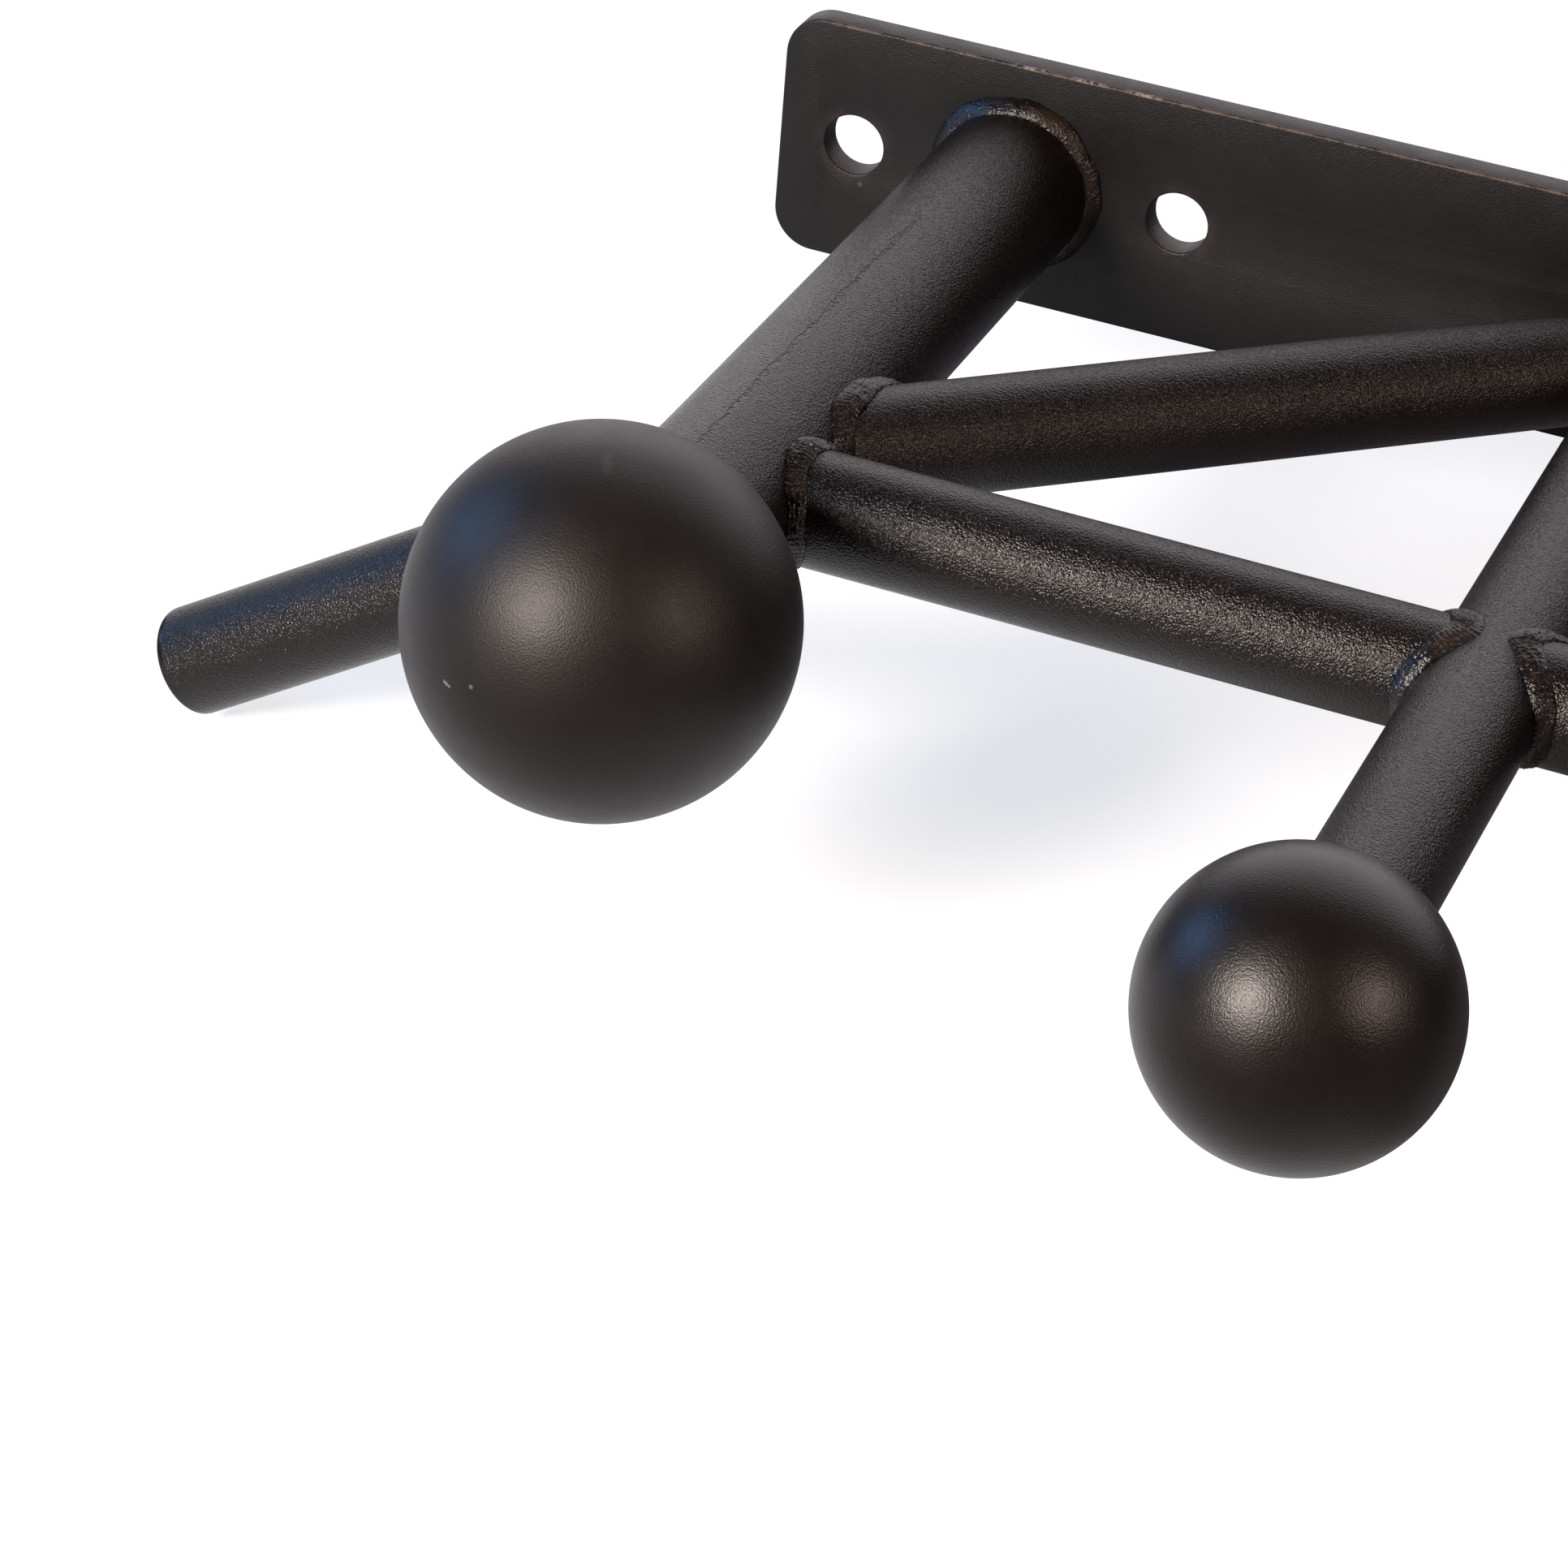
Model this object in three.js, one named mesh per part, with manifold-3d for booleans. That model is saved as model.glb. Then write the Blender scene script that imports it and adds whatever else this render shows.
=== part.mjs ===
// Wall-mounted pull-up bar with ball grips, welded from a drilled plate, round tubes and hollow balls.
// Millimetres. The origin is the centre of the wall plate's back face: +X runs right along the wall,
// +Y goes into the wall and +Z is up, so the bar stands out towards -Y.
import * as THREE from "three";
import { mergeVertices } from "three/addons/utils/BufferGeometryUtils.js";
import Module from "manifold-3d";

const wasm = await Module();
wasm.setup();

// ---------------------------------------------------------------- driving sizes

// What touches is drawn this far apart.
const FIT_GAP = 0.3;

// The wall plate is a 3 x 3/8 in flat bar. Its bolt holes stand either side of the outer arms,
// and inboard of the inner arms, all on its middle line.
const PLATE_HEIGHT = 76.2;
const PLATE_THICKNESS = 9.5;
const PLATE_CORNER_RADIUS = 12.7;
const PLATE_OVERHANG = 76.2;
const BOLT_HOLE_DIAMETER = 19;
const BOLT_OFFSET = 52;

// Centre-to-centre spacing of the arms along the wall.
const CENTRE_BAY = 406;
const OUTER_BAY = 208;

// Outside diameter and wall of each tube.
const OUTER_ARM = { diameter: 48.3, wall: 3.7 };
const INNER_ARM = { diameter: 33.4, wall: 3.4 };
const BAR = { diameter: 31.75, wall: 3 };

// The balls are hollow, and a vent opens each into its arm's bore.
const LARGE_BALL_DIAMETER = 101.6;
const SMALL_BALL_DIAMETER = 76.2;
const BALL_WALL = 4.8;
const BALL_VENT_DIAMETER = 10;

// Reach of each piece's centre line, or ball centre, out from the plate's front face.
const LARGE_BALL_REACH = 296;
const SMALL_BALL_REACH = 373;
const CROSS_BAR_REACH = 215;

// The brace clears the cross bar by this much where both meet the outer arm. Its line ends on
// the inner arm's centre line, this far in front of the plate.
const BRACE_TOE_GAP = 1.4;
const BRACE_ROOT_REACH = 7;

// The angled grip slopes down and outwards from the outer arm, level with the cross bar.
// Its length runs from the arm's centre line to the end cap's outer face.
const GRIP_LENGTH = 190;
const GRIP_SLOPE = THREE.MathUtils.degToRad(32.5);

// The end cap is a flange with a ribbed, hollow spigot that is pushed into the grip's bore.
const CAP_FLANGE_THICKNESS = 2.2;
const CAP_EDGE_RADIUS = 1;
const CAP_SPIGOT_LENGTH = 14;
const CAP_WALL = 2;
const CAP_RIB_HEIGHT = 0.7;
const CAP_RIBS = 3;

// Radius of the weld metal round each joint's corner.
const ARM_BEAD = 6;
const BAR_BEAD = 5;
const BALL_BEAD = 4;

// Facets round each kind of shape.
const ROUND_SIDES = 24;
const BALL_CAVITY_STEPS = 7;
const BEAD_SIDES = 5;
const PLATE_CURVE_STEPS = 8;
const CORNER_STEPS = 3;

// ---------------------------------------------------------------- places worked out from the sizes

const FRONT = -PLATE_THICKNESS;
const INNER_ARM_X = CENTRE_BAY / 2;
const OUTER_ARM_X = INNER_ARM_X + OUTER_BAY;
const PLATE_LENGTH = 2 * (OUTER_ARM_X + PLATE_OVERHANG);
const CROSS_BAR_Y = FRONT - CROSS_BAR_REACH;
const BRACE_END_Y = FRONT - BRACE_ROOT_REACH;
const BRACE_START_Y = BRACE_END_Y - OUTER_BAY * Math.tan(braceAngle());

// Every round shape is made round this axis, then turned onto its line.
const SHAPE_AXIS = new THREE.Vector3(0, 1, 0);

// The brace's angle to the wall. Its toe, beside the cross bar and the outer arm, lies half a bar
// to the side of its line, so depth * cos(angle) - width * sin(angle) is half a bar.
function braceAngle() {
  const halfBar = BAR.diameter / 2;
  const depth = CROSS_BAR_REACH - halfBar - BRACE_TOE_GAP - BRACE_ROOT_REACH;
  const width = OUTER_BAY - OUTER_ARM.diameter / 2;
  return Math.acos(halfBar / Math.hypot(depth, width)) - Math.atan2(width, depth);
}

// ---------------------------------------------------------------- finishes

const tubeCoat = new THREE.MeshStandardMaterial({ color: 0x231f1e, roughness: 0.5, metalness: 0.3 });
const plateCoat = new THREE.MeshStandardMaterial({ color: 0x1f1d1c, roughness: 0.6, metalness: 0.3 });
const ballCoat = new THREE.MeshStandardMaterial({ color: 0x252221, roughness: 0.45, metalness: 0.3 });
const weldCoat = new THREE.MeshStandardMaterial({ color: 0x2c2724, roughness: 0.4, metalness: 0.4 });
const capPlastic = new THREE.MeshStandardMaterial({ color: 0x0b0b0b, roughness: 0.3, metalness: 0 });

// ---------------------------------------------------------------- solids

// A closed geometry as a solid that can be joined and cut.
function solidOf(geometry) {
  geometry.deleteAttribute("normal");
  geometry.deleteAttribute("uv");
  const merged = mergeVertices(geometry, 1e-4);
  const mesh = new wasm.Mesh({
    numProp: 3,
    vertProperties: new Float32Array(merged.attributes.position.array),
    triVerts: new Uint32Array(merged.index.array),
  });
  return new wasm.Manifold(mesh);
}

function geometryOf(solid) {
  const mesh = solid.getMesh();
  const geometry = new THREE.BufferGeometry();
  geometry.setAttribute("position", new THREE.BufferAttribute(mesh.vertProperties, 3));
  geometry.setIndex(new THREE.BufferAttribute(mesh.triVerts, 1));
  geometry.computeVertexNormals();
  return geometry;
}

function cutBy(solid, ...cutters) {
  return cutters.reduce((left, cutter) => left.subtract(cutter), solid);
}

// The straight line that a tube's centre follows.
function line(start, end) {
  const direction = end.clone().sub(start);
  const length = direction.length();
  direction.normalize();
  return { start, end, direction, length };
}

function reversed(run) {
  return line(run.end, run.start);
}

// Turns a shape made round +Y onto a line, with the shape's zero at the line's start.
function placeOn(geometry, run) {
  const turn = new THREE.Quaternion().setFromUnitVectors(SHAPE_AXIS, run.direction);
  geometry.applyQuaternion(turn);
  geometry.translate(run.start.x, run.start.y, run.start.z);
  return geometry;
}

// A solid rod along a line. The extra length stands past both ends.
function rod(run, radius, extra = 0) {
  const length = run.length + 2 * extra;
  const cylinder = new THREE.CylinderGeometry(radius, radius, length, ROUND_SIDES);
  cylinder.translate(0, run.length / 2, 0);
  return solidOf(placeOn(cylinder, run));
}

function tube(run, stock) {
  const radius = stock.diameter / 2;
  const bore = rod(run, radius - stock.wall, 1);
  return rod(run, radius).subtract(bore);
}

// The room that a tube takes up, with the fit gap all round it.
function roomFor(run, stock) {
  return rod(run, stock.diameter / 2 + FIT_GAP, FIT_GAP);
}

// ---------------------------------------------------------------- wall plate

function plateOutline() {
  const x = PLATE_LENGTH / 2;
  const z = PLATE_HEIGHT / 2;
  const r = PLATE_CORNER_RADIUS;
  const outline = new THREE.Shape();
  outline.moveTo(-x + r, -z);
  outline.lineTo(x - r, -z);
  outline.absarc(x - r, -z + r, r, -Math.PI / 2, 0);
  outline.lineTo(x, z - r);
  outline.absarc(x - r, z - r, r, 0, Math.PI / 2);
  outline.lineTo(-x + r, z);
  outline.absarc(-x + r, z - r, r, Math.PI / 2, Math.PI);
  outline.lineTo(-x, -z + r);
  outline.absarc(-x + r, -z + r, r, Math.PI, 1.5 * Math.PI);
  return outline;
}

function boltHoles() {
  const centres = [OUTER_ARM_X + BOLT_OFFSET, OUTER_ARM_X - BOLT_OFFSET, INNER_ARM_X - BOLT_OFFSET];
  return centres.flatMap((x) => [-x, x]);
}

function wallPlate() {
  const outline = plateOutline();
  for (const x of boltHoles()) {
    const hole = new THREE.Path();
    hole.absarc(x, 0, BOLT_HOLE_DIAMETER / 2, 0, 2 * Math.PI, true);
    outline.holes.push(hole);
  }
  const plate = new THREE.ExtrudeGeometry(outline, {
    depth: PLATE_THICKNESS,
    bevelEnabled: false,
    curveSegments: PLATE_CURVE_STEPS,
  });
  plate.rotateX(Math.PI / 2);
  return solidOf(plate);
}

// ---------------------------------------------------------------- balls

// Half of a ball's outline, from its front round to the edge of the vent at its back.
function ballArc(radius, vent, steps, extra = 0) {
  const end = Math.PI - Math.asin(vent / radius);
  const points = [];
  for (let i = 0; i <= steps; i++) {
    const angle = (end * i) / steps;
    const x = (radius + extra) * Math.sin(angle);
    points.push(new THREE.Vector2(x, -(radius + extra) * Math.cos(angle)));
  }
  return points;
}

// A hollow ball turned round its arm's line, with the vent on the side of the arm.
function ballShell(centre, diameter) {
  const vent = BALL_VENT_DIAMETER / 2;
  const outside = ballArc(diameter / 2, vent, ROUND_SIDES / 2);
  const inside = ballArc(diameter / 2 - BALL_WALL, vent, BALL_CAVITY_STEPS).reverse();
  const shell = new THREE.LatheGeometry([...outside, ...inside], ROUND_SIDES);
  return solidOf(shell.translate(centre.x, centre.y, centre.z));
}

// The room that a ball takes up, with the fit gap all round it.
function ballRoom(centre, diameter) {
  const outside = ballArc(diameter / 2, BALL_VENT_DIAMETER / 2, ROUND_SIDES / 2, FIT_GAP);
  const back = outside[outside.length - 1];
  const room = new THREE.LatheGeometry([...outside, new THREE.Vector2(0, back.y)], ROUND_SIDES);
  return solidOf(room.translate(centre.x, centre.y, centre.z));
}

// How far in front of a ball's centre its surface has a given radius round the arm's line.
function ballDepthAt(ballDiameter, radius) {
  return Math.sqrt((ballDiameter / 2) ** 2 - radius ** 2);
}

// ---------------------------------------------------------------- weld beads

// Distance from a point, along a direction, to the near side of an arm that stands at x.
function distanceToArm(point, direction, armX, armRadius) {
  const x = point.x - armX;
  const a = direction.x ** 2 + direction.z ** 2;
  const b = x * direction.x + point.z * direction.z;
  const c = x ** 2 + point.z ** 2 - armRadius ** 2;
  return (-b - Math.sqrt(b * b - a * c)) / a;
}

function distanceToPlate(point, direction) {
  return direction.y > 0 ? (FRONT - point.y) / direction.y : Infinity;
}

// A ring of weld metal round a tube, following the line where the tube's surface stops.
// stopAt gives that distance for a line on the surface, from its own starting point.
function weldRing(run, radius, bead, stopAt) {
  const ring = new THREE.TorusGeometry(radius, bead, BEAD_SIDES, ROUND_SIDES);
  ring.rotateX(-Math.PI / 2);
  const turn = new THREE.Quaternion().setFromUnitVectors(SHAPE_AXIS, run.direction);
  const vertices = ring.attributes.position;
  const vertex = new THREE.Vector3();
  for (let i = 0; i < vertices.count; i++) {
    vertex.fromBufferAttribute(vertices, i);
    const along = vertex.y;
    const outwards = new THREE.Vector3(vertex.x, 0, vertex.z).applyQuaternion(turn);
    const onSurface = outwards.clone().setLength(radius).add(run.start);
    vertex.copy(run.start).add(outwards);
    vertex.addScaledVector(run.direction, stopAt(onSurface, run.direction) + along);
    vertices.setXYZ(i, vertex.x, vertex.y, vertex.z);
  }
  return solidOf(ring);
}

// ---------------------------------------------------------------- end cap

// Turned round +Y, with the flange's outer face at zero and the spigot behind it.
function endCapGeometry() {
  const flange = BAR.diameter / 2;
  const rib = flange - BAR.wall - FIT_GAP;
  const core = rib - CAP_RIB_HEIGHT;
  const bore = core - CAP_WALL;
  const profile = [new THREE.Vector2(0, 0)];
  for (let i = 0; i <= CORNER_STEPS; i++) {
    const angle = (Math.PI / 2) * (i / CORNER_STEPS);
    const x = flange - CAP_EDGE_RADIUS + CAP_EDGE_RADIUS * Math.sin(angle);
    profile.push(new THREE.Vector2(x, CAP_EDGE_RADIUS * (1 - Math.cos(angle))));
  }
  profile.push(new THREE.Vector2(flange, CAP_FLANGE_THICKNESS));
  profile.push(new THREE.Vector2(core, CAP_FLANGE_THICKNESS));
  const pitch = CAP_SPIGOT_LENGTH / CAP_RIBS;
  for (let i = 0; i < CAP_RIBS; i++) {
    const base = CAP_FLANGE_THICKNESS + pitch * i;
    profile.push(new THREE.Vector2(rib, base + pitch / 3));
    profile.push(new THREE.Vector2(core, base + pitch));
  }
  const end = CAP_FLANGE_THICKNESS + CAP_SPIGOT_LENGTH;
  profile.push(new THREE.Vector2(bore, end));
  profile.push(new THREE.Vector2(bore, CAP_FLANGE_THICKNESS));
  profile.push(new THREE.Vector2(0, CAP_FLANGE_THICKNESS));
  return new THREE.LatheGeometry(profile, ROUND_SIDES);
}

// ---------------------------------------------------------------- assembly

const pullUpBar = new THREE.Group();
pullUpBar.name = "wall_pull_up_bar";

function addPiece(name, solid, material) {
  const mesh = new THREE.Mesh(geometryOf(solid), material);
  mesh.name = name;
  pullUpBar.add(mesh);
}

addPiece("wall_plate", wallPlate(), plateCoat);

// The room that the plate takes up, with the fit gap in front, where the arms and beads stop.
const slab = new THREE.BoxGeometry(PLATE_LENGTH, PLATE_THICKNESS + FIT_GAP, PLATE_HEIGHT);
slab.translate(0, (FRONT - FIT_GAP) / 2, 0);
const plateRoom = solidOf(slab);

// An arm, its ball, and the beads at both of the arm's ends.
function armSet(label, stock, x, reach, ballDiameter) {
  const centre = new THREE.Vector3(x, FRONT - reach, 0);
  const seat = ballDepthAt(ballDiameter, stock.diameter / 2 - stock.wall) + FIT_GAP;
  const root = new THREE.Vector3(x, FRONT - FIT_GAP, 0);
  const tip = new THREE.Vector3(x, centre.y + seat, 0);
  const run = line(tip, root);
  const radius = stock.diameter / 2;
  const room = roomFor(run, stock);
  const corner = centre.y + ballDepthAt(ballDiameter, radius) - tip.y;
  const ballBead = weldRing(run, radius, BALL_BEAD, () => corner);
  addPiece(`${label}_arm`, tube(run, stock), tubeCoat);
  addPiece(`${label}_ball`, ballShell(centre, ballDiameter), ballCoat);
  addPiece(`${label}_ball_weld`, cutBy(ballBead, ballRoom(centre, ballDiameter), room), weldCoat);
  return { run, room };
}

// Everything on one side. Returns the room of its inner arm, which the centre bar is coped to.
function buildSide(side, sideName) {
  const outerX = side * OUTER_ARM_X;
  const innerX = side * INNER_ARM_X;
  const outer = armSet(`${sideName}_outer`, OUTER_ARM, outerX, LARGE_BALL_REACH, LARGE_BALL_DIAMETER);
  const inner = armSet(`${sideName}_inner`, INNER_ARM, innerX, SMALL_BALL_REACH, SMALL_BALL_DIAMETER);

  const outerRadius = OUTER_ARM.diameter / 2;
  const innerRadius = INNER_ARM.diameter / 2;
  const barRadius = BAR.diameter / 2;
  const onOuterArm = (point, direction) => distanceToArm(point, direction, outerX, outerRadius);
  const onInnerArm = (point, direction) => distanceToArm(point, direction, innerX, innerRadius);

  // The cross bar runs from arm to arm, coped to both.
  const crossRun = line(
    new THREE.Vector3(outerX, CROSS_BAR_Y, 0),
    new THREE.Vector3(innerX, CROSS_BAR_Y, 0),
  );
  const crossRoom = roomFor(crossRun, BAR);
  const crossOuterBead = weldRing(reversed(crossRun), barRadius, BAR_BEAD, onOuterArm);
  const crossInnerBead = weldRing(crossRun, barRadius, BAR_BEAD, onInnerArm);
  addPiece(`${sideName}_cross_bar`, cutBy(tube(crossRun, BAR), outer.room, inner.room), tubeCoat);
  addPiece(`${sideName}_cross_bar_outer_weld`, cutBy(crossOuterBead, outer.room, crossRoom), weldCoat);
  addPiece(`${sideName}_cross_bar_inner_weld`, cutBy(crossInnerBead, inner.room, crossRoom), weldCoat);

  // The brace runs back from the outer arm to the corner of the inner arm and the plate.
  const braceRun = line(
    new THREE.Vector3(outerX, BRACE_START_Y, 0),
    new THREE.Vector3(innerX, BRACE_END_Y, 0),
  );
  const braceRoom = roomFor(braceRun, BAR);
  const atRoot = (point, direction) =>
    Math.min(onInnerArm(point, direction), distanceToPlate(point, direction));
  const crossBeadRoom = weldRing(reversed(crossRun), barRadius, BAR_BEAD + FIT_GAP, onOuterArm);
  const braceFrontBead = weldRing(reversed(braceRun), barRadius, BAR_BEAD, onOuterArm);
  const braceRootBead = weldRing(braceRun, barRadius, BAR_BEAD, atRoot);
  const braceRootRoom = weldRing(braceRun, barRadius, BAR_BEAD + FIT_GAP, atRoot);
  const brace = cutBy(tube(braceRun, BAR), outer.room, crossRoom, crossBeadRoom, inner.room, plateRoom);
  addPiece(`${sideName}_brace`, brace, tubeCoat);
  addPiece(
    `${sideName}_brace_front_weld`,
    cutBy(braceFrontBead, outer.room, braceRoom, crossRoom, crossBeadRoom),
    weldCoat,
  );
  addPiece(`${sideName}_brace_root_weld`, cutBy(braceRootBead, inner.room, braceRoom, plateRoom), weldCoat);

  // The arms' beads on the plate. The inner one stops at the brace and its bead.
  const outerRootBead = weldRing(outer.run, outerRadius, ARM_BEAD, distanceToPlate);
  const innerRootBead = weldRing(inner.run, innerRadius, BAR_BEAD, distanceToPlate);
  addPiece(`${sideName}_outer_arm_weld`, cutBy(outerRootBead, outer.room, plateRoom), weldCoat);
  addPiece(
    `${sideName}_inner_arm_weld`,
    cutBy(innerRootBead, inner.room, plateRoom, braceRoom, braceRootRoom),
    weldCoat,
  );

  // The angled grip, its bead and the cap in its open end.
  const slope = new THREE.Vector3(side * Math.cos(GRIP_SLOPE), 0, -Math.sin(GRIP_SLOPE));
  const gripStart = new THREE.Vector3(outerX, CROSS_BAR_Y, 0);
  const capFace = gripStart.clone().addScaledVector(slope, GRIP_LENGTH);
  const gripEnd = capFace.clone().addScaledVector(slope, -CAP_FLANGE_THICKNESS - FIT_GAP);
  const gripRun = line(gripStart, gripEnd);
  const gripBead = weldRing(reversed(gripRun), barRadius, BAR_BEAD, onOuterArm);
  const cap = placeOn(endCapGeometry(), line(capFace, gripStart));
  addPiece(`${sideName}_angled_grip`, cutBy(tube(gripRun, BAR), outer.room), tubeCoat);
  addPiece(
    `${sideName}_angled_grip_weld`,
    cutBy(gripBead, outer.room, roomFor(gripRun, BAR)),
    weldCoat,
  );
  addPiece(`${sideName}_end_cap`, solidOf(cap), capPlastic);
  return inner.room;
}

const leftArmRoom = buildSide(-1, "left");
const rightArmRoom = buildSide(1, "right");

// The centre bar runs between the inner arms, in line with the outer cross bars.
const centreRun = line(
  new THREE.Vector3(-INNER_ARM_X, CROSS_BAR_Y, 0),
  new THREE.Vector3(INNER_ARM_X, CROSS_BAR_Y, 0),
);
const centreRoom = roomFor(centreRun, BAR);
addPiece("centre_cross_bar", cutBy(tube(centreRun, BAR), leftArmRoom, rightArmRoom), tubeCoat);
const centreEnds = [
  { name: "left", run: reversed(centreRun), x: -INNER_ARM_X, room: leftArmRoom },
  { name: "right", run: centreRun, x: INNER_ARM_X, room: rightArmRoom },
];
for (const { name, run, x, room } of centreEnds) {
  const onArm = (point, direction) => distanceToArm(point, direction, x, INNER_ARM.diameter / 2);
  const bead = weldRing(run, BAR.diameter / 2, BAR_BEAD, onArm);
  addPiece(`${name}_centre_bar_weld`, cutBy(bead, room, centreRoom), weldCoat);
}

export default pullUpBar;
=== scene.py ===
# %% [markdown]
# # A wall-mounted pull-up bar with ball grips
# The real thing is steel: a drilled flat plate that bolts to the wall, four round arms with a
# hollow ball on each end, and round bars welded between them. It is powder coated in black.
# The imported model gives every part's place and size, so the script starts by loading it and
# then swaps each plain part for one with fine shapes and a real finish.

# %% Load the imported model
import math

import bmesh
import bpy
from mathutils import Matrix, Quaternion, Vector, noise


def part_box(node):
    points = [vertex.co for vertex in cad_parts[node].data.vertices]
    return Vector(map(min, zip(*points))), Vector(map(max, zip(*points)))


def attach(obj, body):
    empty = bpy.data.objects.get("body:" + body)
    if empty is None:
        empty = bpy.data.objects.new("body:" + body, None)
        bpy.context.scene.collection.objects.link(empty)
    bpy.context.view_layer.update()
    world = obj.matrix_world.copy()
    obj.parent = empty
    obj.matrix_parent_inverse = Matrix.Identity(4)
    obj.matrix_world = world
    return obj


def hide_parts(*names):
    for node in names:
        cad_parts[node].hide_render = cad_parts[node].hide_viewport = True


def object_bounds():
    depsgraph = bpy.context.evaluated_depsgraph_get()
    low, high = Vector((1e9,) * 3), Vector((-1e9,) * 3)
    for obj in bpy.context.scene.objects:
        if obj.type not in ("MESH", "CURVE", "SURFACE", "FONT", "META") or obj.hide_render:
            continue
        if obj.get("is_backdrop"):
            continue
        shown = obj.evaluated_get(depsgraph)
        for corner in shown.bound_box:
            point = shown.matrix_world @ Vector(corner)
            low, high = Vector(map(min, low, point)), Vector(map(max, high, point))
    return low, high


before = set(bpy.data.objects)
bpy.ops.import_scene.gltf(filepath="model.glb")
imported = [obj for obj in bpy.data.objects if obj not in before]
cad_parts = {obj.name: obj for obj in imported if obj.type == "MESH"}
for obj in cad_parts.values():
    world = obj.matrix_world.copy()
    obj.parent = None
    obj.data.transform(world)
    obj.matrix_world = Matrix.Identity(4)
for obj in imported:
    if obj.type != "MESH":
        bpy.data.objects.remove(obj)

cad_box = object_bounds()
MM = 0.001
print("parts in the packed model:", len(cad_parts))
print("its size in millimetres:", [round(side / MM, 1) for side in cad_box[1] - cad_box[0]])

# %% [markdown]
# ## The camera
# A product view looks down at the left end of the bar with a long lens, so that the tubes stay
# nearly parallel. The camera could be aimed by hand, but three angles say it exactly: how far
# round it stands, how high, and how much it is tipped. The look direction is turned into a
# rotation with `to_track_quat`, and the tip is a turn about that same direction.

# %% Place the camera
CAMERA_PLACE = Vector((-0.0130, -1.2411, 0.6008))
CAMERA_ROUND = math.radians(20.28)
CAMERA_UP = math.radians(32.39)
CAMERA_TIP = math.radians(-4.81)
CAMERA_LENS = 108.02

look = Vector((
    -math.sin(CAMERA_ROUND) * math.cos(CAMERA_UP),
    math.cos(CAMERA_ROUND) * math.cos(CAMERA_UP),
    -math.sin(CAMERA_UP),
))
aim = Quaternion(look, CAMERA_TIP) @ look.to_track_quat("-Z", "Y")
bpy.ops.object.camera_add(location=CAMERA_PLACE, rotation=aim.to_euler())
camera = bpy.context.object
camera.name = "product_camera"
camera.data.sensor_width = 36
camera.data.lens = CAMERA_LENS
camera.data.clip_start = 0.05
bpy.context.scene.camera = camera
print("camera looks along", [round(part, 3) for part in look])

# %% [markdown]
# ## Measuring the frame
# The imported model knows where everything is, so nothing is placed by eye. A part's box gives
# its lowest and highest corner: half the width of an arm's box is the arm's radius, and the
# middle of a bar's box is the bar's centre line. Only the left half is measured, because the
# right half mirrors it. The walls of the tubes, the ball sizes and the bolts' distance from
# the arms don't show in a box, so they are given as numbers.

# %% Measure the arms, the balls and the bars
plate_low, plate_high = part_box("wall_plate")
PLATE_FRONT = plate_low.y

outer_arm_low, outer_arm_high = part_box("left_outer_arm")
inner_arm_low, inner_arm_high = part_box("left_inner_arm")
OUTER_ARM_X = (outer_arm_low.x + outer_arm_high.x) / 2
INNER_ARM_X = (inner_arm_low.x + inner_arm_high.x) / 2
OUTER_ARM_RADIUS = (outer_arm_high.x - outer_arm_low.x) / 2
INNER_ARM_RADIUS = (inner_arm_high.x - inner_arm_low.x) / 2
OUTER_ARM_WALL = 3.7 * MM
INNER_ARM_WALL = 3.4 * MM

bar_low, bar_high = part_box("left_cross_bar")
BAR_RADIUS = (bar_high.z - bar_low.z) / 2
BAR_WALL = 3 * MM
BAR_Y = (bar_low.y + bar_high.y) / 2

LARGE_BALL_RADIUS = 50.8 * MM
SMALL_BALL_RADIUS = 38.1 * MM
LARGE_BALL = Vector((OUTER_ARM_X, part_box("left_outer_ball")[0].y + LARGE_BALL_RADIUS, 0))
SMALL_BALL = Vector((INNER_ARM_X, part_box("left_inner_ball")[0].y + SMALL_BALL_RADIUS, 0))
BOLT_OFFSET = 52 * MM
HOLES_AT = [
    side * OUTER_ARM_X + step for side in (-1, 1) for step in (-BOLT_OFFSET, BOLT_OFFSET)
]
HOLES_AT += [side * (abs(INNER_ARM_X) - BOLT_OFFSET) for side in (-1, 1)]
print("arm radii:", round(OUTER_ARM_RADIUS / MM, 2), round(INNER_ARM_RADIUS / MM, 2))
print("bar radius and reach:", round(BAR_RADIUS / MM, 2), round(BAR_Y / MM, 1))

# %% [markdown]
# ## Working by hand, in code
# Operators act on whatever is selected, and loading leaves every part selected, so each piece
# starts by deselecting. In edit mode the faces or edges to work on are picked by where they
# are or which way they face. Helpers for that keep the later cells short.

# %% Helpers for selecting and for modifiers
def deselect():
    bpy.ops.object.select_all(action="DESELECT")


def only(piece):
    """Makes this piece the one that operators act on."""
    deselect()
    piece.select_set(True)
    bpy.context.view_layer.objects.active = piece


def pick_faces(piece, wanted):
    """In edit mode, selects the faces whose middle and normal pass the test."""
    bpy.ops.mesh.select_mode(type="FACE")
    bpy.ops.mesh.select_all(action="DESELECT")
    mesh = bmesh.from_edit_mesh(piece.data)
    for face in mesh.faces:
        face.select_set(wanted(face.calc_center_median(), face.normal))
    bmesh.update_edit_mesh(piece.data)


def pick_edges(piece, wanted):
    """In edit mode, selects the edges whose two ends pass the test."""
    bpy.ops.mesh.select_mode(type="EDGE")
    bpy.ops.mesh.select_all(action="DESELECT")
    mesh = bmesh.from_edit_mesh(piece.data)
    for edge in mesh.edges:
        edge.select_set(wanted(edge.verts[0].co, edge.verts[1].co))
    bmesh.update_edit_mesh(piece.data)


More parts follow.
